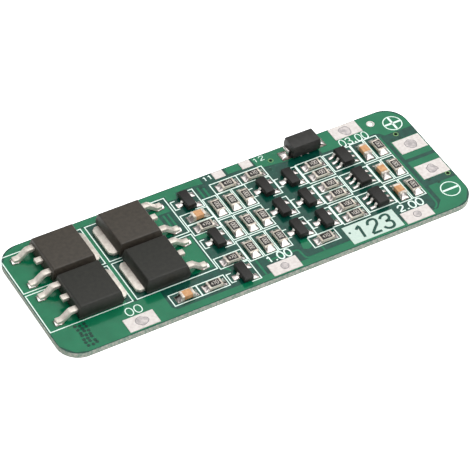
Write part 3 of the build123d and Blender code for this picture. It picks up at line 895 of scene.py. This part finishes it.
# %% [markdown]
# ## End caps
# The end of a chip is dipped in metal, so its corners are soft and its face is a little uneven.
# The solids wrap the ceramic as thin shells, which a bevel would break. So a cube is taken to
# the size of each cap and its edges are rounded. Its inside is hidden in the chip.
# %% Model the end caps
cap_metal = finish(
    "cap_metal", (172, 162, 148), (240, 230, 218), 0.4, 0.4, mottle=0.3, grain=0.12, depth=0.015)
CAP_ROUND = 0.08

dipped = []
for low, high, _ in caps:
    deselect()
    bpy.ops.mesh.primitive_cube_add(size=1, location=(low + high) / 2, scale=high - low)
    bpy.ops.object.transform_apply(location=True, rotation=True, scale=True)
    dipped.append(round_corners(bpy.context.object, CAP_ROUND))
pick(*dipped)
bpy.ops.object.join()
cap_set = bpy.context.object
dress(cap_set, cap_metal)
complete(cap_set, "chip_caps", ["chip_end_caps"])
print("end caps:", len(dipped))

# %% [markdown]
# ## Chips
# A resistor is white ceramic under a black glaze, which runs a little way over both end caps. A
# capacitor is a tan block. The glaze is already a step in the solid, so its faces only need
# their own finish: they are the ones near the solid's top. To lie over the caps it is stretched
# along the chip and lifted a hair.
# %% Dress the chips
ceramic_white = finish("ceramic_white", (200, 196, 182), (222, 218, 204), 0.5, mottle=0.3, grain=0.1)
overcoat_black = finish(
    "overcoat_black", (26, 24, 22), (40, 37, 34), 0.35, mottle=0.3, grain=0.2, depth=0.008)
capacitor_tan = finish("capacitor_tan", (184, 132, 88), (206, 160, 114), 0.5, mottle=0.4, grain=0.1)
GLAZE_REACH = 0.7
GLAZE_STRETCH = 1.18
GLAZE_LIFT = 0.012
# How far below the chip's top the glaze's corners, its faces and its own top are looked for.
GLAZE_DEPTH = 0.045
GLAZE_SIDE = 0.035
GLAZE_TOP = 0.005
CERAMIC_ROUND = 0.025
CAPACITOR_ROUND = 0.06


def stretch_glaze(piece, low, high):
    """Take the glaze a little way over both end caps."""
    middle = (low + high) / 2
    axis = 0 if high.x - low.x > high.y - low.y else 1
    for vert in piece.data.vertices:
        along = vert.co[axis] - middle[axis]
        if vert.co.z > high.z - GLAZE_DEPTH and abs(along) < GLAZE_REACH:
            vert.co[axis] = middle[axis] + along * GLAZE_STRETCH
        if vert.co.z > high.z - GLAZE_TOP:
            vert.co.z += GLAZE_LIFT


resistors = [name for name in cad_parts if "_resistor_" in name]
capacitors = [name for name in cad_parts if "capacitor" in name]
for node in resistors:
    low, high = (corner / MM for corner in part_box(node))
    piece = enlarged_copy(node)
    stretch_glaze(piece, low, high)
    round_corners(piece, CERAMIC_ROUND)
    dress(piece, ceramic_white, overcoat_black)
    for face in piece.data.polygons:
        if face.center.z > high.z - GLAZE_SIDE:
            face.material_index = 1
    complete(piece, node.replace("_resistor", "_chip"), [node])
for node in capacitors:
    dressed_copy(node, node + "_block", CAPACITOR_ROUND, capacitor_tan)
print("resistors:", len(resistors), "capacitors:", len(capacitors))

# %% [markdown]
# Each resistor has a three figure code in grey on its glaze, which reads along the chip. The
# figures are the ones of the board's print, with fewer faces because they are so small and many.
# %% Write the codes
code_ink = finish("code_ink", (176, 168, 160), (204, 198, 190), 0.6, mottle=0.1)
CODES = {"balance": "200", "sense": "100", "filter": "330", "bias": "470"}
CODE_LENGTH = 0.94
CODE_HEIGHT = 0.5
CODE_LINE = 0.09
CODE_RISE = 0.012


def code_strokes(node):
    low, high = (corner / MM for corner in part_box(node))
    size = high - low
    box_low = (-CODE_LENGTH / 2, -CODE_HEIGHT / 2)
    box_high = (CODE_LENGTH / 2, CODE_HEIGHT / 2)
    code = CODES[node.split("_")[0]]
    strokes = write(code, box_low, box_high, CODE_LINE, CODE_RISE, 0, sides=0, steps=2)
    middle = (low + high) / 2
    turn = 0 if size.x > size.y else math.pi / 2
    place = Matrix.Translation((middle.x, middle.y, high.z + GLAZE_LIFT)) @ Matrix.Rotation(turn, 4, "Z")
    for stroke in strokes:
        stroke.matrix_world = place @ Matrix.Diagonal((1, 1, stroke.scale.z, 1))
    return strokes


codes = []
for node in resistors:
    codes += code_strokes(node)
one_piece(codes, "resistor_codes", code_ink)
print("code strokes:", len(codes))

# %% [markdown]
# ## Ripples in the tin
# Tin that has cooled over a filled hole keeps a ripple round it, uneven on the wide pads and
# nearly round on the narrow ones, and is duller inside. A bump would be too soft for the sharp
# line in the photograph. So the line is swept round a loop that noise has pulled out of shape,
# and a thin pool fills it. The line's darker tin is painted shade, for the shaded rim of the dip
# round the hole.
# %% Raise the ripples
# The ripple line's darker tin is painted shade of the dip round the hole.
ripple_painted_shade = finish(
    "ripple_painted_shade", (104, 100, 104), (160, 154, 156), 0.4, 0.4, mottle=0.3, grain=0.2, depth=0.02)
dull_tin = finish(
    "dull_tin", (170, 164, 164), (214, 206, 204), 0.45, 0.3, mottle=0.5, grain=0.2, depth=0.02)
PAD_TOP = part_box("wire_pads")[1].z / MM
RIPPLE_LINE = 0.1
RIPPLE_RISE = 0.02
POOL_RISE = 0.012
POOL_INSET = 0.02
LOOP_POINTS = 14
WAVE = 1.7
# Each pool has its place, the radius of its ripple and how uneven that is.
POOLS = [
    (-18.72, -8.58, 0.74, 0.5), (21.05, 8.8, 0.74, 0.5), (27.28, 2.69, 0.74, 0.5), (27.28, -2.56, 0.74, 0.5),
    (1.43, -8.69, 0.5, 0.1), (21.05, -8.69, 0.5, 0.1),
]


def uneven_loop(x, y, radius, unevenness):
    points = []
    for at_x, at_y in circle_points(x, y, radius, LOOP_POINTS):
        pull = 1 + unevenness * noise.noise(Vector((at_x, at_y, 0)) * WAVE)
        points.append((x + (at_x - x) * pull, y + (at_y - y) * pull))
    return points


ripples = []
pools = []
for x, y, radius, unevenness in POOLS:
    outline = uneven_loop(x, y, radius, unevenness)
    ripples.append(sweep(outline, RIPPLE_LINE, RIPPLE_RISE, PAD_TOP, closed=True))
    inside = uneven_loop(x, y, radius - POOL_INSET, unevenness)
    pools.append(flat_outline(inside, POOL_RISE, level=PAD_TOP))
one_piece(ripples, "tin_ripples", ripple_painted_shade)
one_piece(pools, "tin_pools", dull_tin)
print("pools of tin:", len(pools))

# %% [markdown]
# ## The printed frames
# The print has thin lines, with a hair between two neighbours. The solids have the right
# layout, so their walls only move inwards: scaling a frame would move its lines off the parts.
# Each corner of a line moves across both of its walls. The ink of the solid block is thinner
# and looks darker, so the block gets a finish of its own.
# %% Thin the printed lines
block_ink = finish("block_ink", (186, 206, 196), (196, 214, 204), 0.6, mottle=0.3, grain=0.1)
LINE_INSET = 0.02
BLOCK_AREA = 5.0


def thin_lines(piece, inset):
    """Move every upright wall inwards, and leave the height alone."""
    mesh = bmesh.new()
    mesh.from_mesh(piece.data)
    moves = {}
    for vert in mesh.verts:
        walls = [face.normal for face in vert.link_faces if abs(face.normal.z) < SIDEWAYS]
        if len(walls) == 2:
            moves[vert] = (walls[0] + walls[1]) * inset / (1 + walls[0].dot(walls[1]))
    for vert, move in moves.items():
        vert.co -= move
    mesh.to_mesh(piece.data)
    mesh.free()
    return len(moves)


frames = enlarged_copy("printed_frames")
moved = thin_lines(frames, LINE_INSET)
dress(frames, print_ink, block_ink)
for face in frames.data.polygons:
    if face.area > BLOCK_AREA:
        face.material_index = 1
complete(frames, "thin_frames", ["printed_frames"])
print("corners moved:", moved)

# %% [markdown]
# ## Lands and wire pads
# The lands are copper that the solder has wetted, and the wire pads are flat tin. The lands'
# metal is darkened as painted shade, for the dark rim that the solder's steep edge leaves beside
# each joint. Both solids have the real shape already, so they stay as they are and only get
# their finishes.
# %% Finish the lands and the wire pads
# The lands are wetted metal, darkened as painted shade for the rim beside each joint.
wet_land_painted_shade = finish("wet_land_painted_shade", (84, 78, 74), (168, 158, 150), 0.3, 0.9, mottle=0.3, grain=0.3, depth=0.008)
dress(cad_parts["component_pads"], wet_land_painted_shade)
dress(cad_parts["wire_pads"], tin)
print("finishes:", len(bpy.data.materials))
